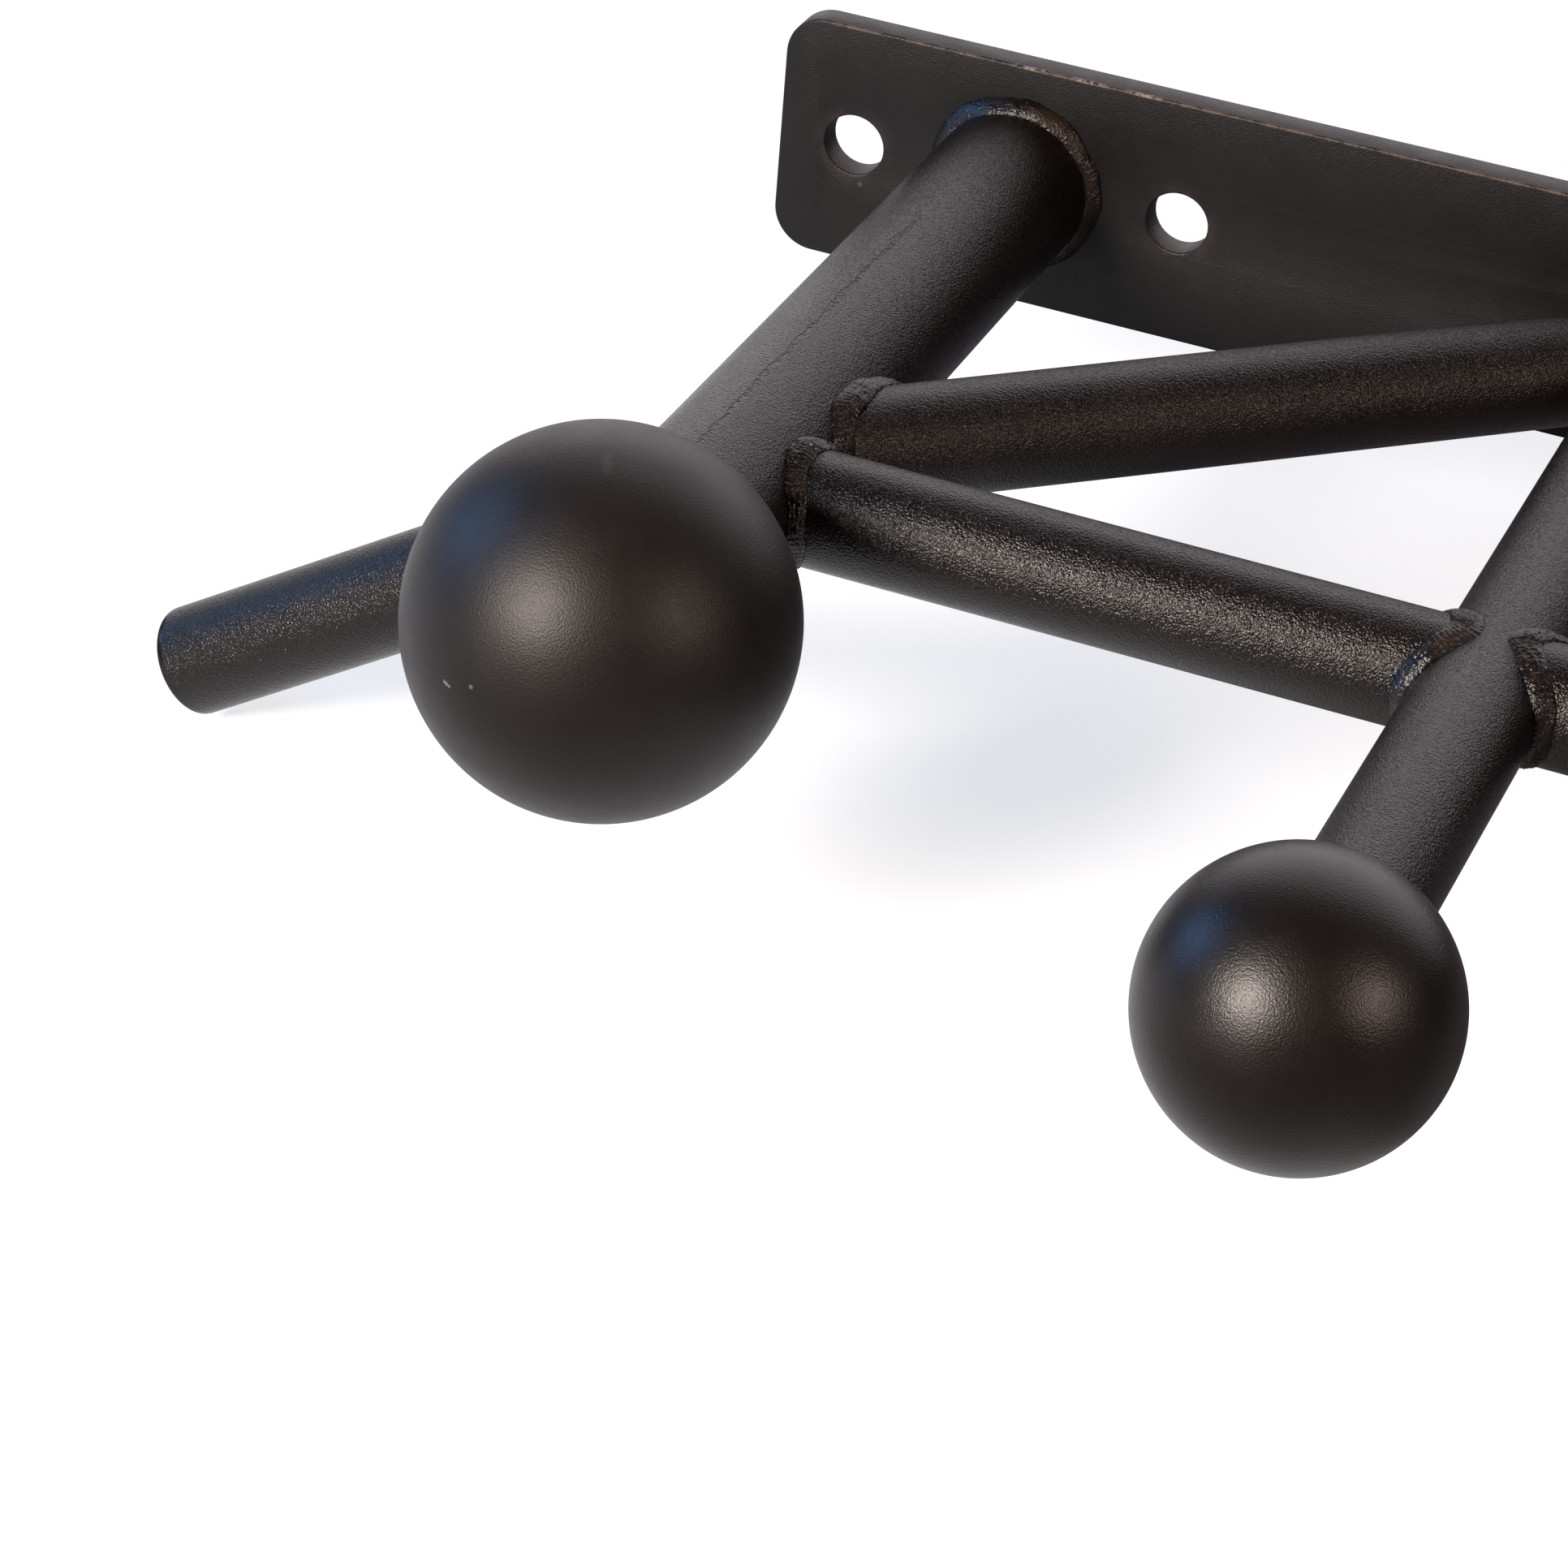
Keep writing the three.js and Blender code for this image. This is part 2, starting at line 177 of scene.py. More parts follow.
def with_modifier(piece, name, kind, **settings):
    """Adds a modifier and applies it at once."""
    only(piece)
    modifier = piece.modifiers.new(name, kind)
    for setting, value in settings.items():
        setattr(modifier, setting, value)
    bpy.ops.object.modifier_apply(modifier=modifier.name)


def settle(piece):
    """Puts the piece's place into its mesh, so that its object sits at the origin."""
    only(piece)
    bpy.ops.object.transform_apply(location=True, rotation=True, scale=True)


def smooth(piece, sharp_from=35):
    only(piece)
    bpy.ops.object.shade_smooth_by_angle(angle=math.radians(sharp_from))


# %% [markdown]
# ## The black powder coat
# Powder is sprayed on dry and melted in an oven. It flows into a skin that is very dark, dull
# and slightly dimpled, like the peel of an orange. A texture picture could carry that, but it
# would need unwrapping and would stretch on the tubes. Noise that reads the object's own
# coordinates needs neither: one noise clouds the colour, one makes the dimples, and a finer
# one makes the sand-like grain that breaks up every highlight.

# %% A base powder coat that the other finishes build on
def new_node(tree, kind, **inputs):
    """Adds a node. The inputs are named with underscores for spaces."""
    node = tree.nodes.new(kind)
    for name, value in inputs.items():
        node.inputs[name.replace("_", " ")].default_value = value
    return node


def blend_colours(tree, share, first, second):
    """A colour between two others, by a share from a socket. Each is a socket or a colour."""
    mix = tree.nodes.new("ShaderNodeMix")
    mix.data_type = "RGBA"
    tree.links.new(share, mix.inputs["Factor"])
    for socket, colour in (("A", first), ("B", second)):
        target = next(s for s in mix.inputs if s.name == socket and s.type == "RGBA")
        if isinstance(colour, bpy.types.NodeSocket):
            tree.links.new(colour, target)
        else:
            target.default_value = (*colour, 1)
    return next(s for s in mix.outputs if s.type == "RGBA")


def between(tree, value, low, high, to_low=0.0, to_high=1.0):
    """Stretches the part of a value between low and high over the wanted range."""
    stretch = new_node(
        tree, "ShaderNodeMapRange",
        From_Min=low, From_Max=high, To_Min=to_low, To_Max=to_high,
    )
    tree.links.new(value, stretch.inputs["Value"])
    return stretch.outputs["Result"]


def noise_at(tree, place, size, detail=2.0, roughness=0.5, distortion=0.0):
    """Noise whose lumps are about this many millimetres across."""
    pattern = new_node(
        tree, "ShaderNodeTexNoise",
        Scale=1 / (size * MM), Detail=detail, Roughness=roughness, Distortion=distortion,
    )
    tree.links.new(place, pattern.inputs["Vector"])
    return pattern.outputs["Fac"]


def dimple(tree, height, depth, onto=None):
    """A bump this many millimetres deep, on top of another bump if one is given."""
    bump = new_node(tree, "ShaderNodeBump", Strength=1.0, Distance=depth * MM)
    tree.links.new(height, bump.inputs["Height"])
    if onto is not None:
        tree.links.new(onto, bump.inputs["Normal"])
    return bump.outputs["Normal"]


def maths(tree, operation, *values):
    """One sum. Each value is a socket or a plain number."""
    step = tree.nodes.new("ShaderNodeMath")
    step.operation = operation
    for socket, value in zip(step.inputs, values):
        if isinstance(value, bpy.types.NodeSocket):
            tree.links.new(value, socket)
        else:
            socket.default_value = value
    return step.outputs["Value"]


def spot(tree, place, centre, inner, outer):
    """1 up to the inner distance from a point, in millimetres, and 0 from the outer one on."""
    far = tree.nodes.new("ShaderNodeVectorMath")
    far.operation = "DISTANCE"
    far.inputs[1].default_value = centre
    tree.links.new(place, far.inputs[0])
    return between(tree, far.outputs["Value"], inner * MM, outer * MM, 1.0, 0.0)


def axes(tree, place):
    split = tree.nodes.new("ShaderNodeSeparateXYZ")
    tree.links.new(place, split.inputs["Vector"])
    return split.outputs["X"], split.outputs["Y"], split.outputs["Z"]


def paint_over(tree, shader, share, colour):
    """Lays a colour over what the shader has now, where the share is 1."""
    below = shader.inputs["Base Color"].links[0].from_socket
    tree.links.new(blend_colours(tree, share, below, colour), shader.inputs["Base Color"])


def press_in(tree, shader, height, depth):
    """Adds a bump this many millimetres deep on top of the shader's bumps."""
    below = shader.inputs["Normal"].links[0].from_socket
    tree.links.new(dimple(tree, height, depth, below), shader.inputs["Normal"])


def powder_coat(name, dark, light, shine, peel, grain):
    """peel and grain are (lump size, depth) in millimetres. shine is (low, high) roughness."""
    material = bpy.data.materials.new(name)
    material.use_nodes = True
    tree = material.node_tree
    shader = tree.nodes["Principled BSDF"]
    place = tree.nodes.new("ShaderNodeTexCoord").outputs["Object"]
    clouds = noise_at(tree, place, 30, detail=3)
    colour = blend_colours(tree, between(tree, clouds, 0.35, 0.65), dark, light)
    gloss = between(tree, noise_at(tree, place, 9, detail=2), 0.3, 0.7, *shine)
    peeled = dimple(tree, noise_at(tree, place, peel[0], detail=1), peel[1])
    grained = dimple(tree, noise_at(tree, place, grain[0], detail=1.5), grain[1], peeled)
    tree.links.new(colour, shader.inputs["Base Color"])
    tree.links.new(gloss, shader.inputs["Roughness"])
    tree.links.new(grained, shader.inputs["Normal"])
    shader.inputs["Specular IOR Level"].default_value = 0.28
    return material, tree, shader, place


# %% [markdown]
# The tubes carry the thickest coat, with a sandy grain. Their base is fairly glossy and the
# grain is deep, so that a highlight breaks up into sparks instead of turning into a smooth
# stripe, which is what a duller base without grain would give.

# %% Finish for the bars and the arms
tube_coat, tree, shader, place = powder_coat(
    "tube_powder_coat",
    dark=(0.0026, 0.0016, 0.0014), light=(0.0042, 0.0026, 0.0023),
    shine=(0.24, 0.30), peel=(1.8, 0.04), grain=(0.6, 0.40),
)
print("made", tube_coat.name)

# %% [markdown]
# Tube is rolled from strip and welded along its length. The seam shows through the coat on top
# of the outer arms as a thin, rough, broken line that wanders a little and fades at both ends.
# A modelled groove would need far more faces than it is worth, so a band of the finish is
# darkened and pressed in along that line.

# %% The seam on the outer arms
SEAM_BACK = PLATE_FRONT - 0.07
SEAM_FADE = 0.03
x, y, z = axes(tree, place)
drift = between(tree, noise_at(tree, place, 11, detail=3), 0.0, 1.0, -1.8 * MM, 1.8 * MM)
from_seam = maths(tree, "SUBTRACT", maths(tree, "ABSOLUTE", x), abs(OUTER_ARM_X))
from_seam = maths(tree, "ABSOLUTE", maths(tree, "ADD", from_seam, drift))
fray = between(tree, noise_at(tree, place, 1.3, detail=2), 0.3, 0.7, -0.5 * MM, 0.4 * MM)
seam = between(tree, maths(tree, "ADD", from_seam, fray), 0.3 * MM, 0.9 * MM, 1.0, 0.0)
on_top = between(tree, z, OUTER_ARM_RADIUS - 2 * MM, OUTER_ARM_RADIUS - MM)
in_front = between(tree, y, SEAM_BACK, SEAM_BACK - SEAM_FADE)
unbroken = between(tree, noise_at(tree, place, 2.2, detail=3), 0.36, 0.52)
for share in (on_top, in_front, unbroken):
    seam = maths(tree, "MULTIPLY", seam, share)
paint_over(tree, shader, seam, (0.0015, 0.001, 0.001))
press_in(tree, shader, maths(tree, "MULTIPLY", seam, -1.0), 0.35)
print("the seam starts", round((PLATE_FRONT - SEAM_BACK) / MM), "mm in front of the plate")

# %% [markdown]
# The balls are ground before they are coated, so their coat lies smoother. The same recipe is
# used with a finer, flatter grain and a duller base, and the highlights become soft spots.

# %% Finish for the balls
ball_coat, tree, shader, place = powder_coat(
    "ball_powder_coat",
    dark=(0.0027, 0.0017, 0.0014), light=(0.0044, 0.0027, 0.0023),
    shine=(0.35, 0.39), peel=(3.0, 0.02), grain=(0.5, 0.10),
)
print("made", ball_coat.name)

# %% [markdown]
# The large balls are gripped the most and came out of the oven a little duller than the small
# ones. Shipping left marks on the left one: a short pale streak with a nick beside it, and one
# faint scuff near the top. Each is a spot or two of the finish, so the mesh stays smooth.

# %% Duller large balls, and the marks on the left one
DULLER_BY = 0.10
x, _, _ = axes(tree, place)
large = between(tree, maths(tree, "ABSOLUTE", x), 0.28, 0.30, 0.0, DULLER_BY)
gloss = shader.inputs["Roughness"].links[0].from_socket
tree.links.new(maths(tree, "ADD", gloss, large), shader.inputs["Roughness"])
# Each mark: its place from the ball's middle, its inner and outer reach, and how pale it is.
MARKS = (
    ((-20.9, -46.3, 0.7), 0.2, 0.7, 0.10),
    ((-20.1, -46.6, 0.5), 0.2, 0.7, 0.12),
    ((-19.3, -47.0, 0.3), 0.2, 0.6, 0.10),
    ((-12.4, -49.1, 3.3), 0.2, 0.8, 0.08),
    ((1.5, -6.1, 50.4), 0.5, 2.0, 0.012),
    ((2.7, -8.4, 50.0), 0.5, 2.0, 0.012),
    ((3.9, -10.8, 49.4), 0.5, 2.0, 0.010),
)
for offset, inner, outer, pale in MARKS:
    mark = spot(tree, place, LARGE_BALL + Vector(offset) * MM, inner, outer)
    paint_over(tree, shader, mark, (pale, 0.93 * pale, 0.90 * pale))
print("marks on the left large ball:", len(MARKS))

# %% [markdown]
# The plate is flat bar with rolling scale under its coat, the dullest surface of the three. It
# gets the roughest base and a lower specular level, so that its face stays an even black.

# %% Finish for the plate
plate_coat, tree, shader, place = powder_coat(
    "plate_powder_coat",
    dark=(0.0024, 0.0019, 0.0020), light=(0.0042, 0.0034, 0.0035),
    shine=(0.42, 0.50), peel=(1.6, 0.04), grain=(0.5, 0.14),
)
shader.inputs["Specular IOR Level"].default_value = 0.22
print("made", plate_coat.name)

# %% [markdown]
# Powder draws back from a sharp edge as it melts, so the coat is thin there and wears first.
# The plate's top front edge shows light brown dashes, with a few small burrs left from the
# saw, and the rims of the bolt holes are a little lighter. How near the edge a point lies is
# plain from its height and depth, so both kinds of wear are worked out from the coordinates.

# %% Wear on the plate
BURRS_AT = (-0.409, -0.391, -0.373)
x, y, z = axes(tree, place)
edge_sum = plate_high.z - plate_low.y
to_edge = maths(tree, "SUBTRACT", edge_sum, maths(tree, "SUBTRACT", z, y))
thin = between(tree, to_edge, 0.6 * MM, 1.1 * MM, 1.0, 0.0)
patches = between(tree, noise_at(tree, place, 9, detail=4, roughness=0.65), 0.40, 0.56)
paint_over(tree, shader, maths(tree, "MULTIPLY", thin, patches), (0.05, 0.036, 0.030))
for burr_x in BURRS_AT:
    burr = spot(tree, place, (burr_x, plate_low.y, plate_high.z), 1.5, 7.0)
    burr = maths(tree, "MULTIPLY", burr, thin)
    broken = between(tree, noise_at(tree, place, 1.4, detail=2), 0.42, 0.55)
    burr = maths(tree, "MULTIPLY", burr, broken)
    paint_over(tree, shader, burr, (0.16, 0.125, 0.105))
    press_in(tree, shader, burr, 0.3)
for hole_x in HOLES_AT:
    rim = spot(tree, place, (hole_x, plate_low.y, 0), 9.6, 14)
    worn = between(tree, noise_at(tree, place, 7, detail=3), 0.42, 0.62, 0.0, 0.8)
    paint_over(tree, shader, maths(tree, "MULTIPLY", rim, worn), (0.016, 0.011, 0.010))
pale_dot = spot(tree, place, (-0.4599, plate_low.y, -0.0122), 0.5, 1.0)
paint_over(tree, shader, pale_dot, (0.035, 0.03, 0.028))
print("burrs:", len(BURRS_AT), "worn hole rims:", len(HOLES_AT))

# %% [markdown]
# Weld metal freezes with a skin of its own, and the coat follows it. The recipe is used with
# deep peel and deep grain. The large shape of a bead comes from its mesh.

# %% Finish for the welds
weld_coat, tree, shader, place = powder_coat(
    "weld_powder_coat",
    dark=(0.0028, 0.0018, 0.0015), light=(0.0060, 0.0038, 0.0031),
    shine=(0.26, 0.38), peel=(2.2, 0.30), grain=(0.8, 0.34),
)
print("made", weld_coat.name)

# %% [markdown]
# Heat leaves colours in and beside a weld, and the coat over it is thin. A brown tint comes
# and goes along every bead. A painted bluish reflection of the window on the left sits where
# the left inner arm's bead faces out and at the upper left of the outer arm's root. The toe of
# a bead is a little undercut, and painted shade darkens the finish towards each toe, in the
# crease where the bead meets the steel. Each bead carries an attribute that is 0 at each toe
# and 1 on its crest for that.

# %% Heat tint, painted bluish reflection and painted toe shade
brown = between(tree, noise_at(tree, place, 9, detail=2), 0.5, 0.72, 0.0, 0.75)
paint_over(tree, shader, brown, (0.016, 0.009, 0.006))
# Painted reflection: a bluish tint where the bead faces the bluish window on the left, painted
# into the colour.
bluish_reflection_root = spot(tree, place, (OUTER_ARM_X - 0.016, PLATE_FRONT, 0.022), 5, 14)
bluish_reflection_bar = spot(tree, place, (INNER_ARM_X - 0.019, BAR_Y - 0.015, 0.006), 3, 9)
painted_bluish_reflection = maths(tree, "MULTIPLY", maths(tree, "MAXIMUM", bluish_reflection_root, bluish_reflection_bar), 0.8)
paint_over(tree, shader, painted_bluish_reflection, (0.003, 0.0045, 0.0085))
crest = tree.nodes.new("ShaderNodeAttribute")
crest.attribute_name = "crest"
# Painted shade: the colour darkens towards each toe of the bead, in the crease where it meets the
# steel.
painted_toe_shade = between(tree, crest.outputs["Fac"], 0.02, 0.40, 0.75, 0.0)
paint_over(tree, shader, painted_toe_shade, (0.0008, 0.0006, 0.0005))
print("tinted", weld_coat.name)

# %% [markdown]
# The end caps are moulded plastic and not coated at all: a neutral black without the coat's
# brown cast, glossier and almost without grain.

# %% Finish for the end caps
cap_plastic, *_ = powder_coat(
    "cap_plastic",
    dark=(0.003, 0.003, 0.003), light=(0.005, 0.005, 0.005),
    shine=(0.2, 0.3), peel=(4, 0.01), grain=(0.5, 0.004),
)
print("made", cap_plastic.name)


# %% [markdown]
# ## Handing a piece over
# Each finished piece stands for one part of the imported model. It takes the material slot that
# the record names, rides on the only body, and hides the plain part that it replaces. Doing
# this in one helper keeps every piece the same.

# %% Hand over a finished piece
COATS = {
    "tube_powder_coat": tube_coat,
    "ball_powder_coat": ball_coat,
    "plate_powder_coat": plate_coat,
    "weld_powder_coat": weld_coat,
    "cap_plastic": cap_plastic,
}


def hand_over(piece, node, slot):
    """Names the piece, gives it its finish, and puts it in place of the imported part."""
    settle(piece)
    piece.name = f"{node}_finished"
    piece.data.name = piece.name
    piece.data.materials.clear()
    piece.data.materials.append(COATS[slot])
    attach(piece, "root")
    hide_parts(node)
    faces = sum(len(face.vertices) - 2 for face in piece.data.polygons)
    print(f"{piece.name}: {faces} triangles")
    return piece


def mirrored(piece, node, slot):
    """Copies a left-hand piece to the right. A mirrored mesh is inside out, so it is turned."""
    only(piece)
    bpy.ops.object.duplicate(linked=False)
    copy = bpy.context.object
    copy.scale.x = -1
    settle(copy)
    bpy.ops.object.mode_set(mode="EDIT")
    bpy.ops.mesh.select_all(action="SELECT")
    bpy.ops.mesh.normals_make_consistent(inside=False)
    bpy.ops.object.mode_set(mode="OBJECT")
    return hand_over(copy, node, slot)


# %% [markdown]
# ## The wall plate
# The plate is hot-rolled flat bar, sawn to length, with its corners ground round and its bolt
# holes drilled. It starts as a box. Its four corner edges are beveled to the corner radius,
# the holes are cut with drill-sized rods, and a fine bevel eases every edge, because a powder
# coat never leaves a knife edge.

# %% Shape the plate
PLATE_CORNER_RADIUS = 12.7 * MM
BOLT_HOLE_RADIUS = 9.5 * MM
EASED_EDGE = 0.7 * MM
DRILL_OVERRUN = 10 * MM


def rod_between(start, end, radius, sides):
    along = end - start
    deselect()
    bpy.ops.mesh.primitive_cylinder_add(
        vertices=sides, radius=radius, depth=along.length, end_fill_type="NGON",
        location=(start + end) / 2, rotation=along.to_track_quat("Z", "Y").to_euler(),
    )
    return bpy.context.object


def scrap(*pieces):
    """Throws away pieces that were only tools."""
    for piece in pieces:
        bpy.data.objects.remove(piece)


def cut_away(piece, *cutters):
    for cutter in cutters:
        with_modifier(
            piece, "Cut", "BOOLEAN", operation="DIFFERENCE", solver="EXACT", object=cutter,
        )


deselect()
bpy.ops.mesh.primitive_cube_add(size=1, location=(plate_low + plate_high) / 2)
plate = bpy.context.object
plate.scale = plate_high - plate_low
settle(plate)
bpy.ops.object.mode_set(mode="EDIT")
pick_edges(plate, lambda a, b: abs(a.y - b.y) > 5 * MM)
bpy.ops.mesh.bevel(offset=PLATE_CORNER_RADIUS, segments=14, affect="EDGES")
bpy.ops.object.mode_set(mode="OBJECT")

for x in HOLES_AT:
    drill_tip = Vector((x, PLATE_FRONT - DRILL_OVERRUN, 0))
    drill = rod_between(drill_tip, Vector((x, DRILL_OVERRUN, 0)), BOLT_HOLE_RADIUS, 64)
    cut_away(plate, drill)
    scrap(drill)
with_modifier(
    plate, "Eased edges", "BEVEL",
    width=EASED_EDGE, segments=3, limit_method="ANGLE", angle_limit=math.radians(40),
)
smooth(plate)
hand_over(plate, "wall_plate", "plate_powder_coat")

# %% [markdown]
# ## Round tube
# Every arm and bar is round tube. A cylinder has no hole, so its two end faces are inset by
# the tube's wall and bridged: the bridge takes both faces away and leaves a bore. A coped end
# is then cut with a rod the size of the arm that it meets, as a hole saw does it.

# %% Helper for tube
TUBE_SIDES = 96


def tube_between(start, end, radius, wall):
    tube = rod_between(start, end, radius, TUBE_SIDES)
    bpy.ops.object.mode_set(mode="EDIT")
    pick_faces(tube, lambda middle, normal: abs(normal.z) > 0.9)
    bpy.ops.mesh.inset(thickness=wall)
    bpy.ops.mesh.bridge_edge_loops()
    bpy.ops.object.mode_set(mode="OBJECT")
    return tube


# %% The arms, coped to their balls
def ball_tool(centre, radius):
    deselect()
    bpy.ops.mesh.primitive_uv_sphere_add(
        segments=128, ring_count=64, radius=radius, location=centre,
    )
    return bpy.context.object


for label, ball, ball_radius, radius, wall in (
    ("outer", LARGE_BALL, LARGE_BALL_RADIUS, OUTER_ARM_RADIUS, OUTER_ARM_WALL),
    ("inner", SMALL_BALL, SMALL_BALL_RADIUS, INNER_ARM_RADIUS, INNER_ARM_WALL),
):
    root = Vector((ball.x, PLATE_FRONT, 0))
    arm = tube_between(ball, root, radius, wall)
    tool = ball_tool(ball, ball_radius)
    cut_away(arm, tool)
    scrap(tool)
    smooth(arm)
    hand_over(arm, f"left_{label}_arm", "tube_powder_coat")
    mirrored(arm, f"right_{label}_arm", "tube_powder_coat")

# %% [markdown]
# ## The bars between the arms
# The cross bar runs straight across. The brace runs back from the outer arm to the corner
# where the inner arm meets the plate, so it is cut by the outer arm, the cross bar, the inner
# arm and the plate. The tools are kept until both bars are cut.

# %% The tools for coping
TOOL_SIDES = 128
TOOL_OVERRUN = 20 * MM


def arm_tool(ball, radius):
    """A rod the size of an arm, from its ball's middle to a little past the wall."""
    return rod_between(ball, Vector((ball.x, TOOL_OVERRUN, 0)), radius, TOOL_SIDES)


# %% Cut the cross bar and the brace
BRACE_END_Y = PLATE_FRONT - 7 * MM
BRACE_SLOPE = math.radians(42.616)
brace_start = Vector((
    OUTER_ARM_X,
    BRACE_END_Y - abs(OUTER_ARM_X - INNER_ARM_X) * math.tan(BRACE_SLOPE),
    0,
))
brace_end = Vector((INNER_ARM_X, BRACE_END_Y, 0))
cross_start = Vector((OUTER_ARM_X, BAR_Y, 0))
cross_end = Vector((INNER_ARM_X, BAR_Y, 0))

outer_tool = arm_tool(LARGE_BALL, OUTER_ARM_RADIUS)
inner_tool = arm_tool(SMALL_BALL, INNER_ARM_RADIUS)
cross_tool = rod_between(cross_start, cross_end, BAR_RADIUS, TOOL_SIDES)
deselect()
bpy.ops.mesh.primitive_cube_add(size=1, location=(plate_low + plate_high) / 2)
plate_tool = bpy.context.object
plate_tool.scale = plate_high - plate_low
settle(plate_tool)

cross_bar = tube_between(cross_start, cross_end, BAR_RADIUS, BAR_WALL)
cut_away(cross_bar, outer_tool, inner_tool)
smooth(cross_bar)
hand_over(cross_bar, "left_cross_bar", "tube_powder_coat")
mirrored(cross_bar, "right_cross_bar", "tube_powder_coat")

brace = tube_between(brace_start, brace_end, BAR_RADIUS, BAR_WALL)
cut_away(brace, outer_tool, cross_tool, inner_tool, plate_tool)
smooth(brace)
hand_over(brace, "left_brace", "tube_powder_coat")
mirrored(brace, "right_brace", "tube_powder_coat")

# %% Cut the centre bar
def flip(point):
    """The same point on the right half."""
    return Vector((-point.x, point.y, point.z))


inner_tool_right = arm_tool(flip(SMALL_BALL), INNER_ARM_RADIUS)
centre_bar = tube_between(cross_end, flip(cross_end), BAR_RADIUS, BAR_WALL)
cut_away(centre_bar, inner_tool, inner_tool_right)
smooth(centre_bar)
hand_over(centre_bar, "centre_cross_bar", "tube_powder_coat")

# %% The angled grip
GRIP_LENGTH = 190 * MM
GRIP_SLOPE = math.radians(32.5)
CAP_FLANGE = 2.2 * MM
down_grip = Vector((-math.cos(GRIP_SLOPE), 0, -math.sin(GRIP_SLOPE)))
cap_face = cross_start + GRIP_LENGTH * down_grip
grip_end = cap_face - CAP_FLANGE * down_grip

grip = tube_between(cross_start, grip_end, BAR_RADIUS, BAR_WALL)
cut_away(grip, outer_tool)
smooth(grip)
hand_over(grip, "left_angled_grip", "tube_powder_coat")
mirrored(grip, "right_angled_grip", "tube_powder_coat")

# %% [markdown]
# ## The end cap
# A plastic plug closes the grip's open end. Its flange covers the cut tube and its ribbed
# spigot bites in the bore. It starts as the flange's disc. The outer rim is rounded with a
# bevel, and the spigot is grown out of the back face, one rib after another, by extruding and
# scaling the same face. A last inset and a pushed-in extrude make it hollow.

# %% Shape the end cap
CAP_EDGE = 1.0 * MM
CAP_RIB_HEIGHT = 0.7 * MM
CAP_RIBS = 3
CAP_RIB_PITCH = 14 * MM / CAP_RIBS
CAP_WALL = 2 * MM
CAP_HOLLOW = 14 * MM


def grow(distance, radius_before=1.0, radius_after=1.0):
    """Extrudes the selected face along the plug and scales it to a new radius."""
    bpy.ops.mesh.extrude_region_move(
        TRANSFORM_OT_translate={"value": cap_direction * distance},
    )
    ratio = radius_after / radius_before
    bpy.ops.transform.resize(value=(ratio, ratio, ratio))


cap_direction = -down_grip
cap = rod_between(cap_face, grip_end, BAR_RADIUS, TUBE_SIDES)
settle(cap)
bpy.ops.object.mode_set(mode="EDIT")
pick_faces(cap, lambda middle, normal: normal.dot(down_grip) > 0.9)
bpy.ops.mesh.region_to_loop()
bpy.ops.mesh.bevel(offset=CAP_EDGE, segments=6, affect="EDGES")
pick_faces(cap, lambda middle, normal: normal.dot(cap_direction) > 0.9)
rib = BAR_RADIUS - BAR_WALL - 0.3 * MM
core = rib - CAP_RIB_HEIGHT
bpy.ops.mesh.inset(thickness=BAR_RADIUS - core)
for _ in range(CAP_RIBS):
    grow(CAP_RIB_PITCH / 3, core, rib)
    grow(CAP_RIB_PITCH * 2 / 3, rib, core)
bpy.ops.mesh.inset(thickness=CAP_WALL)
grow(-CAP_HOLLOW)
bpy.ops.object.mode_set(mode="OBJECT")
smooth(cap)
hand_over(cap, "left_end_cap", "cap_plastic")
mirrored(cap, "right_end_cap", "cap_plastic")

# %% [markdown]
# ## The ball grips
# The balls are hollow, pressed in two halves and ground smooth, with a small vent where the
# arm covers it. A sphere's pole is turned to face the arm, the faces round the pole are
# deleted for the vent, and the skin is thickened inwards to the real wall.

# %% Shape the balls
VENT_RADIUS = 5 * MM
BALL_WALL = 4.8 * MM

for label, centre, radius in (
    ("outer", LARGE_BALL, LARGE_BALL_RADIUS),
    ("inner", SMALL_BALL, SMALL_BALL_RADIUS),
):
    deselect()
    bpy.ops.mesh.primitive_uv_sphere_add(
        segments=160, ring_count=96, radius=radius, location=centre,
        rotation=(math.radians(-90), 0, 0),
    )
    ball = bpy.context.object
    bpy.ops.object.mode_set(mode="EDIT")
    pick_faces(ball, lambda middle, normal: middle.z > 0 and middle.xy.length < VENT_RADIUS)
    bpy.ops.mesh.delete(type="FACE")
    bpy.ops.object.mode_set(mode="OBJECT")
    with_modifier(ball, "Wall", "SOLIDIFY", thickness=BALL_WALL, offset=-1)
    smooth(ball)
    hand_over(ball, f"left_{label}_ball", "ball_powder_coat")
    mirrored(ball, f"right_{label}_ball", "ball_powder_coat")

# %% [markdown]
# ## The weld beads
# A welder fills the corner round every joint with melted wire. The bead follows the line where
# the tube meets the other steel. It has one toe on each surface and a slightly rounded face
# between them, it swells and thins with the speed of the hand, and each puddle leaves a ripple.
# The corner line is easy to get with operators: a ring the size of the tube is projected along
# the tube onto the steel. A ring with a round section would stand too proud where the surfaces
# lie nearly flat to each other, as they do over the top of an arm. So the face is laid point by
# point instead: at each step along the corner line the two surfaces' own directions say where
# the toes go. The hidden side of the bead lies inside the steel, as real weld metal does.

# %% The corner line of a joint
LINE_STEP = 0.35 * MM


